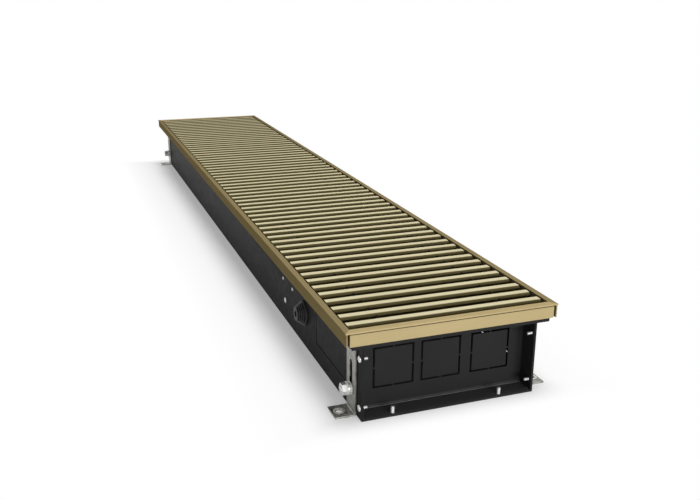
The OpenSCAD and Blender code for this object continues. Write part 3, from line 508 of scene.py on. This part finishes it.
HALF_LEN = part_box("frame_right")[1].y
WALL_X = 108.5 * MM
SCREW_Y = HALF_LEN - 13.3 * MM
SCREW_HEIGHTS = (14.5 * MM, 74 * MM)
SCREW_TIP_X = 99.8 * MM
SCREW_R = 2 * MM
SCREW_PITCH = 0.9 * MM
THREAD_DEPTH = 0.55
THREAD_FLANK = 1.3
THREAD_POINT = 0.5
THREAD_POINT_DEPTH = 1.4
THREAD_AROUND = 28
THREAD_ROWS = 8
HEAD_R = 4 * MM
HEAD_H = 2.4 * MM
HEAD_FOOT_R = 0.94 * HEAD_R
HEAD_RIM = 0.35 * HEAD_H
HEAD_STEPS = 8
RECESS_REACH = 2.3 * MM
RECESS_HALF = 0.55 * MM
RECESS_TAPER = 0.55
RECESS_TOP = 1.5 * HEAD_H
FLOOR_SCREW_XS = (-69.6 * MM, 65.4 * MM)
FLOOR_SCREW_Y = HALF_LEN - 12 * MM
FLOOR_SCREW_R = 2.4 * MM
FLOOR_SCREW_TOP = 10.7 * MM
FLOOR_HEAD_R = 3.7 * MM
FLOOR_HEAD_H = 1.9 * MM
FLOOR_HEAD_NECK = 0.9 * FLOOR_SCREW_R
WALL_SCREW_AT = (-WALL_X, -427 * MM, 31.5 * MM)
WALL_SCREW_LEN = 3.2 * MM
STUD_Y = HALF_LEN - 36.2 * MM
STUD_Z = 29 * MM
STUD_R = 4 * MM
STUD_PITCH = 1.25 * MM
STUD_FOOT_X = 107.3 * MM
STUD_END_X = 123.4 * MM
STUD_HEAD_R = 5.2 * MM
STUD_HEAD_H = 0.7 * MM
WASHER_X = 111.1 * MM
WASHER_R = 8 * MM
WASHER_T = 1.6 * MM
WASHER_SOFT = 0.3 * MM
SPRING_X = 112.7 * MM
SPRING_R = 6.9 * MM
SPRING_T = 2 * MM
SPRING_SHIFT = 0.5 * MM
SPRING_GAP = 0.24
SPRING_STEPS = 60
OUTER_WASHER_X = 114.7 * MM
NUT_X = 116.3 * MM
NUT_AF = 13 * MM
NUT_H = 6.5 * MM
NUT_CHAMFER = math.radians(30)
NUT_CHAMFER_SHARE = 1.2
NUT_FACE_SHARE = 0.98
NUT_CLEARANCE = 1.01
HOLE_R = 4.1 * MM
HOLE_SINK_R = 1.12 * HOLE_R
RIVET_R = 2.4 * MM
RIVET_H = 1.1 * MM
RIVET_CROWN = ((0.5, 0), (1, 0), (1, 0.25), (0.86, 0.65), (0.6, 0.93), (0.36, 1), (0.3, 0.7), (0, 0.7))
RIVET_YS = (-462.4 * MM, -415.2 * MM)
RIVET_Z = 60.5 * MM
GROMMET_AT = (-WALL_X, -517.5 * MM, 47 * MM)
GROMMET_R = 16.5 * MM
GROMMET_BASE = 3 * MM
GROMMET_STEP = 2.3 * MM
GROMMET_STEPS = 4
GROMMET_TIP_SHARE = 0.6
GROMMET_RIB = 1.1 * MM
GROMMET_SOFT = 0.6 * MM
RIB_OUTLINE = ((1, 0), (1, 0.75), (0.5, 1), (0.12, 1.12), (0, 1.4), (0.12, 1.8), (0.5, 2))
GROMMET_BORE_R = 4.5 * MM
GROMMET_NECK_R = 10 * MM
GROMMET_NECK_LEN = 7.2 * MM
ANCHOR_X = 125 * MM
ANCHOR_R = 4.25 * MM
FOOT_T = 2 * MM
STAR_R = 6.7 * MM
STAR_RING_R = 5.2 * MM
STAR_T = 0.5 * MM
STAR_TWIST = 0.5 * MM
STAR_TEETH = 12
STAR_SOFT = 0.1 * MM
STAR_CLEARANCE = 0.1 * MM
TOOTH_LAP = 0.1 * MM
TOOTH_SPAN = (0.12, 0.88)
SIDES = (-1, 1)


def build(name, corners, faces):
    """A mesh of corners and faces."""
    mesh = bpy.data.meshes.new(name)
    mesh.from_pydata(corners, [], faces)
    mesh.validate()
    return mesh


def turned(name, profile, around=ROUND):
    """A profile of radius and height turned about Z; it closes on itself unless it ends on the axis."""
    circle = [(math.cos(k * math.tau / around), math.sin(k * math.tau / around)) for k in range(around)]
    corners = [(r * x, r * y, z) for r, z in profile for x, y in circle]
    open_ends = profile[0][0] == 0 and profile[-1][0] == 0
    rows = len(profile) - 1 if open_ends else len(profile)
    faces = []
    for row in range(rows):
        low = row * around
        high = (row + 1) % len(profile) * around
        for k in range(around):
            after = (k + 1) % around
            faces.append((low + k, low + after, high + after, high + k))
    return welded(build(name, corners, faces))


def welded(mesh):
    """Joins doubled corners and turns all faces outward."""
    work = bmesh.new()
    work.from_mesh(mesh)
    bmesh.ops.remove_doubles(work, verts=work.verts, dist=WELD_GAP)
    bmesh.ops.recalc_face_normals(work, faces=work.faces)
    work.to_mesh(mesh)
    work.free()
    return mesh


def prism(name, outline, z0, z1, taper=1.0):
    """An outline of X and Y pulled from z0 to z1, its z0 end scaled by taper."""
    count = len(outline)
    corners = [(x * taper, y * taper, z0) for x, y in outline] + [(x, y, z1) for x, y in outline]
    faces = [tuple(range(count))[::-1], tuple(range(count, 2 * count))]
    faces += [(k, (k + 1) % count, count + (k + 1) % count, count + k) for k in range(count)]
    return welded(build(name, corners, faces))


def cut(mesh, tool, operation="DIFFERENCE"):
    """The mesh less the tool, or what both share."""
    scene = bpy.context.scene.collection.objects
    thing = bpy.data.objects.new("cut", mesh)
    other = bpy.data.objects.new("tool", tool)
    for each in (thing, other):
        scene.link(each)
    step = thing.modifiers.new("cut", "BOOLEAN")
    step.object = other
    step.operation = operation
    step.solver = "EXACT"
    ready = thing.evaluated_get(bpy.context.evaluated_depsgraph_get())
    result = bpy.data.meshes.new_from_object(ready)
    for each in (thing, other):
        bpy.data.objects.remove(each)
    return result


def threaded(name, radius, pitch, length):
    """A threaded shank along +Z from 0 to length, its far end pointed."""
    depth = THREAD_DEPTH * pitch
    count = round(length / pitch * THREAD_ROWS)
    corners = []
    for row in range(count + 1):
        z = length * row / count
        to_end = min(1, (length - z) / (THREAD_POINT * pitch))
        for k in range(THREAD_AROUND):
            flank = abs(2 * ((z / pitch - k / THREAD_AROUND) % 1) - 1)
            r = radius - depth * min(1, THREAD_FLANK * flank)
            r = min(r, radius - depth * THREAD_POINT_DEPTH * (1 - to_end))
            angle = k * math.tau / THREAD_AROUND
            corners.append((r * math.cos(angle), r * math.sin(angle), z))
    first = tuple(range(THREAD_AROUND))
    faces = [first[::-1], tuple(count * THREAD_AROUND + k for k in first)]
    for row in range(count):
        for k in range(THREAD_AROUND):
            after = (k + 1) % THREAD_AROUND
            low = row * THREAD_AROUND
            high = low + THREAD_AROUND
            faces.append((low + k, low + after, high + after, high + k))
    return build(name, corners, faces)


def dome(radius, edge, height):
    """Profile points of a domed head from its rim to the axis."""
    points = []
    for step in range(HEAD_STEPS):
        angle = step / HEAD_STEPS * math.pi / 2
        points.append((radius * math.cos(angle), edge + (height - edge) * math.sin(angle)))
    return points + [(0, height)]


def cross_outline(reach, half):
    """Corners of a plus sign with arms of the given reach and half width."""
    quarter = [(reach, -half), (reach, half), (half, half)]
    outline = []
    for turn in range(4):
        angle = turn * math.pi / 2
        cos = round(math.cos(angle))
        sin = round(math.sin(angle))
        outline += [(cos * x - sin * y, sin * x + cos * y) for x, y in quarter]
    return outline


def pan_head():
    """A domed screw head along +Z with a cross recess."""
    head = turned("pan head", [(0, 0), (HEAD_FOOT_R, 0)] + dome(HEAD_R, HEAD_RIM, HEAD_H))
    cross = cross_outline(RECESS_REACH, RECESS_HALF)
    return cut(head, prism("recess", cross, HEAD_RIM, RECESS_TOP, RECESS_TAPER))


def hexagon(af):
    """Corners of a hexagon of the given distance across flats."""
    r = af / math.sqrt(3)
    angles = [(k + 0.5) * math.tau / 6 for k in range(6)]
    return [(r * math.cos(angle), r * math.sin(angle)) for angle in angles]


def hex_nut():
    """A nut along +Z with two of its flats across X, chamfered at both ends."""
    block = prism("nut", hexagon(NUT_AF), 0, NUT_H)
    corner_r = NUT_AF / math.sqrt(3)
    drop = NUT_CHAMFER_SHARE * (corner_r - NUT_AF / 2) * math.tan(NUT_CHAMFER)
    face_r = NUT_FACE_SHARE * NUT_AF / 2
    full_r = NUT_CLEARANCE * corner_r
    envelope = [(0, 0), (face_r, 0), (full_r, drop), (full_r, NUT_H - drop), (face_r, NUT_H), (0, NUT_H)]
    block = cut(block, turned("envelope", envelope, 2 * ROUND), "INTERSECT")
    sink = HOLE_SINK_R - HOLE_R
    hole = [
        (0, -MM), (HOLE_SINK_R, -MM), (HOLE_SINK_R, 0), (HOLE_R, sink), (HOLE_R, NUT_H - sink),
        (HOLE_SINK_R, NUT_H), (HOLE_SINK_R, NUT_H + MM), (0, NUT_H + MM),
    ]
    return cut(block, turned("hole", hole))


def ring(name, inner, outer, height, soft):
    """A flat ring with eased edges."""
    profile = [
        (inner, 0), (outer - soft, 0), (outer, soft), (outer, height - soft),
        (outer - soft, height), (inner + soft / 2, height), (inner, height - soft / 2),
    ]
    return turned(name, profile)


def split_ring(inner, outer, height):
    """A spring washer: a ring cut once, its two ends set apart along Z."""
    section_top = height - SPRING_SHIFT
    section = [(inner, 0), (outer, 0), (outer, section_top), (inner, section_top)]
    corners = []
    for step in range(SPRING_STEPS + 1):
        share = step / SPRING_STEPS
        angle = math.pi / 2 + SPRING_GAP / 2 + share * (math.tau - SPRING_GAP)
        rise = SPRING_SHIFT * share
        corners += [(r * math.cos(angle), r * math.sin(angle), z + rise) for r, z in section]
    faces = [(3, 2, 1, 0), tuple(4 * SPRING_STEPS + k for k in range(4))]
    for low in range(0, 4 * SPRING_STEPS, 4):
        for k in range(4):
            after = (k + 1) % 4
            faces.append((low + k, low + after, low + 4 + after, low + 4 + k))
    return welded(build("split ring", corners, faces))


def facing(at, toward):
    """Puts a piece drawn along +Z at a place, turned to look along a level direction."""
    z = Vector(toward)
    y = z.cross(Vector((0, 0, 1))).normalized()
    x = y.cross(z)
    turn = Matrix((x, y, z)).transposed().to_4x4()
    return Matrix.Translation(at) @ turn


def gather(name, slot, copies, *replaced, body="casing"):
    """One piece of several placed meshes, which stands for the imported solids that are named."""
    work = bmesh.new()
    for mesh, place in copies:
        placed = mesh.copy()
        placed.transform(place)
        work.from_mesh(placed)
        bpy.data.meshes.remove(placed)
    whole = bpy.data.meshes.new(name)
    work.to_mesh(whole)
    work.free()
    whole.materials.append(MATERIALS[slot])
    for face in whole.polygons:
        face.use_smooth = True
    whole.set_sharp_from_angle(angle=SMOOTH_ANGLE)
    piece = bpy.data.objects.new(name, whole)
    bpy.context.scene.collection.objects.link(piece)
    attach(piece, body)
    if replaced:
        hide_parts(*replaced)


def add_screws():
    head = pan_head()
    panel_shank = threaded("panel shank", SCREW_R, SCREW_PITCH, WALL_X - SCREW_TIP_X)
    copies = []
    for side in SIDES:
        for end in SIDES:
            for z in SCREW_HEIGHTS:
                at = (side * WALL_X, end * SCREW_Y, z)
                copies.append((head, facing(at, (side, 0, 0))))
                copies.append((panel_shank, facing(at, (-side, 0, 0))))
    gather("panel_screws_detailed", "bright_zinc", copies, "end_panel_screws")

    floor_shank = threaded("floor shank", FLOOR_SCREW_R, SCREW_PITCH, FLOOR_SCREW_TOP)
    sunk_profile = [(0, 0), (FLOOR_HEAD_R, 0), (FLOOR_HEAD_NECK, FLOOR_HEAD_H), (0, FLOOR_HEAD_H)]
    sunk_head = turned("sunk head", sunk_profile)
    copies = []
    for x in FLOOR_SCREW_XS:
        for end in SIDES:
            place = Matrix.Translation((x, end * FLOOR_SCREW_Y, 0))
            copies += [(floor_shank, place), (sunk_head, place)]
    gather("floor_screws_detailed", "bright_zinc", copies, "floor_screws")

    wall_shank = threaded("wall shank", SCREW_R, SCREW_PITCH, WALL_SCREW_LEN)
    copies = [(head, facing(WALL_SCREW_AT, (-1, 0, 0))), (wall_shank, facing(WALL_SCREW_AT, (1, 0, 0)))]
    gather("wall_screw_detailed", "bright_zinc", copies, "wall_screw")


def add_bracket_fasteners():
    shank = threaded("stud", STUD_R, STUD_PITCH, STUD_END_X - STUD_FOOT_X)
    flush_profile = [(0, 0), (STUD_HEAD_R, 0), (STUD_HEAD_R, STUD_HEAD_H), (0, STUD_HEAD_H)]
    flush_head = turned("stud head", flush_profile)
    washer = ring("washer", HOLE_R, WASHER_R, WASHER_T, WASHER_SOFT)
    spring = split_ring(HOLE_R, SPRING_R, SPRING_T)
    nut = hex_nut()
    kinds = (
        ("studs_detailed", (STUD_FOOT_X,), (shank, flush_head), "bracket_studs"),
        ("washers_detailed", (WASHER_X, OUTER_WASHER_X), (washer,), "bracket_washers"),
        ("spring_washers_detailed", (SPRING_X,), (spring,), "bracket_spring_washers"),
        ("nuts_detailed", (NUT_X,), (nut,), "bracket_nuts"),
    )
    for name, xs, meshes, node in kinds:
        copies = []
        for side in SIDES:
            for end in SIDES:
                for x in xs:
                    place = facing((side * x, end * STUD_Y, STUD_Z), (side, 0, 0))
                    copies += [(mesh, place) for mesh in meshes]
        gather(name, "bright_zinc", copies, node)


def add_rivets():
    shank = [(0, -WALL_SCREW_LEN), (RIVET_R / 2, -WALL_SCREW_LEN)]
    rivet = turned("rivet", shank + [(r * RIVET_R, z * RIVET_H) for r, z in RIVET_CROWN])
    copies = [(rivet, facing((-WALL_X, y, RIVET_Z), (-1, 0, 0))) for y in RIVET_YS]
    gather("rivets_detailed", "bright_zinc", copies, "wall_rivets")


def grommet_profile():
    """Closed outline of the stepped grommet, from the bore outwards, each rib rounded."""
    soft = GROMMET_SOFT
    outline = [(GROMMET_BORE_R, -GROMMET_NECK_LEN), (GROMMET_NECK_R, -GROMMET_NECK_LEN), (GROMMET_NECK_R, 0)]
    outline += [(GROMMET_R - soft, 0), (GROMMET_R, soft), (GROMMET_R, GROMMET_BASE - soft)]
    outline += [(GROMMET_R - soft / 3, GROMMET_BASE - soft / 3), (GROMMET_R - soft, GROMMET_BASE)]
    for step in range(GROMMET_STEPS):
        r = GROMMET_R * (1 - (1 - GROMMET_TIP_SHARE) * (step + 1) / GROMMET_STEPS)
        z = GROMMET_BASE + step * GROMMET_STEP
        outline += [(r - inset * GROMMET_RIB, z + rise * GROMMET_STEP / 2) for inset, rise in RIB_OUTLINE]
    outline.append((GROMMET_BORE_R, GROMMET_BASE + GROMMET_STEPS * GROMMET_STEP))
    return outline


def add_grommet():
    grommet = turned("grommet", grommet_profile(), 2 * ROUND)
    copies = [(grommet, facing(GROMMET_AT, (-1, 0, 0)))]
    gather("grommet_detailed", "black_rubber", copies, "cable_grommet")


def tooth_ring():
    """A tooth lock washer: a flat ring with twisted teeth round its outside."""
    pieces = [ring("star ring", ANCHOR_R + STAR_CLEARANCE, STAR_RING_R, STAR_T, STAR_SOFT)]
    pitch = math.tau / STAR_TEETH
    faces = [(0, 1, 3, 2), (4, 6, 7, 5), (0, 2, 6, 4), (1, 5, 7, 3), (0, 4, 5, 1), (2, 3, 7, 6)]
    for k in range(STAR_TEETH):
        start, end = ((k + share) * pitch for share in TOOTH_SPAN)
        corners = []
        for r, rise in ((STAR_RING_R - TOOTH_LAP, 0), (STAR_R, STAR_TWIST)):
            for angle, lift in ((start, 0), (end, rise)):
                for z in (0, STAR_T):
                    corners.append((r * math.cos(angle), r * math.sin(angle), z + lift))
        pieces.append(welded(build("tooth", corners, faces)))
    return pieces


def add_anchor_rings():
    """A tooth lock washer at the hole of each foot plate."""
    star = tooth_ring()
    for x, across in ((-1, "left"), (1, "right")):
        for y, along in ((-1, "near"), (1, "far")):
            foot = f"{along}_{across}"
            at = Matrix.Translation((x * ANCHOR_X, y * STUD_Y, FOOT_T))
            copies = [(mesh, at) for mesh in star]
            gather(f"anchor_star_{foot}", "bright_zinc", copies, body=f"foot_{foot}")


# Studio


def shown_rays(tree):
    """One for rays from the camera, off a gloss or through glass, nought for all others."""
    rays = tree.nodes.new("ShaderNodeLightPath").outputs
    shown = rays["Is Camera Ray"]
    for kind in ("Is Glossy Ray", "Is Transmission Ray"):
        either = tree.nodes.new("ShaderNodeMath")
        either.operation = "MAXIMUM"
        tree.links.new(shown, either.inputs[0])
        tree.links.new(rays[kind], either.inputs[1])
        shown = either.outputs[0]
    return shown


def floor_material():
    """White floor that keeps the shadow near the object and is plain white further off."""
    paint = (FLOOR_TONE,) * 3
    s = Surface("studio floor", paint, metallic=0.0, roughness=FLOOR_ROUGHNESS)
    s.shader.inputs["Specular IOR Level"].default_value = 0.0
    s.shader.inputs["Emission Color"].default_value = (1, 1, 1, 1)
    across, along, _ = s.split(s.place)
    beside = s.span(s.size_of(across), CLEAR_BESIDE, CLEAR_BESIDE + FADE_BESIDE)
    ahead = s.span(s.size_of(along), CLEAR_AHEAD, CLEAR_AHEAD + FADE_AHEAD)
    away = s.calculate("MAXIMUM", beside, ahead)
    shown = shown_rays(s.tree)
    lift = s.product(s.span(away, 0, 1, FLOOR_LIFT_NEAR, FLOOR_LIFT_FAR), shown)
    s.tree.links.new(lift, s.shader.inputs["Emission Strength"])
    s.color(s.blend(s.product(away, shown), paint, (0, 0, 0)))
    return s.material


def add_floor():
    mesh = bpy.data.meshes.new("floor")
    corners = [(x * FLOOR_HALF, y * FLOOR_HALF, 0) for x, y in ((-1, -1), (1, -1), (1, 1), (-1, 1))]
    mesh.from_pydata(corners, [], [(0, 1, 2, 3)])
    mesh.materials.append(floor_material())
    floor = bpy.data.objects.new("floor", mesh)
    bpy.context.scene.collection.objects.link(floor)


def add_world():
    """A plain dim surround, white where it is seen or mirrored."""
    world = bpy.data.worlds.new("studio")
    bpy.context.scene.world = world
    world.use_nodes = True
    tree = world.node_tree
    background = tree.nodes["Background"]
    background.inputs["Color"].default_value = (1, 1, 1, 1)
    level = tree.nodes.new("ShaderNodeMix")
    level.data_type = "FLOAT"
    tree.links.new(shown_rays(tree), level.inputs["Factor"])
    level.inputs["A"].default_value = WORLD_DIM
    level.inputs["B"].default_value = WORLD_WHITE
    tree.links.new(level.outputs["Result"], background.inputs["Strength"])


def area_light(name, at, target, size, power, mirrored):
    """A soft lamp that the camera doesn't see."""
    data = bpy.data.lights.new(name, "AREA")
    data.shape = "RECTANGLE"
    data.size, data.size_y = size
    data.energy = power
    light = bpy.data.objects.new(name, data)
    direction = Vector(target) - Vector(at)
    light.matrix_world = Matrix.Translation(at) @ direction.to_track_quat("-Z", "Y").to_matrix().to_4x4()
    bpy.context.scene.collection.objects.link(light)
    light.visible_camera = False
    light.visible_glossy = mirrored


def add_lights():
    for name, settings in LAMPS.items():
        area_light(name, *settings)


add_camera()
add_world()
add_floor()
add_lights()
dress_solids()
add_screws()
add_bracket_fasteners()
add_rivets()
add_grommet()
add_anchor_rings()

bpy.context.scene.view_settings.view_transform = "Standard"
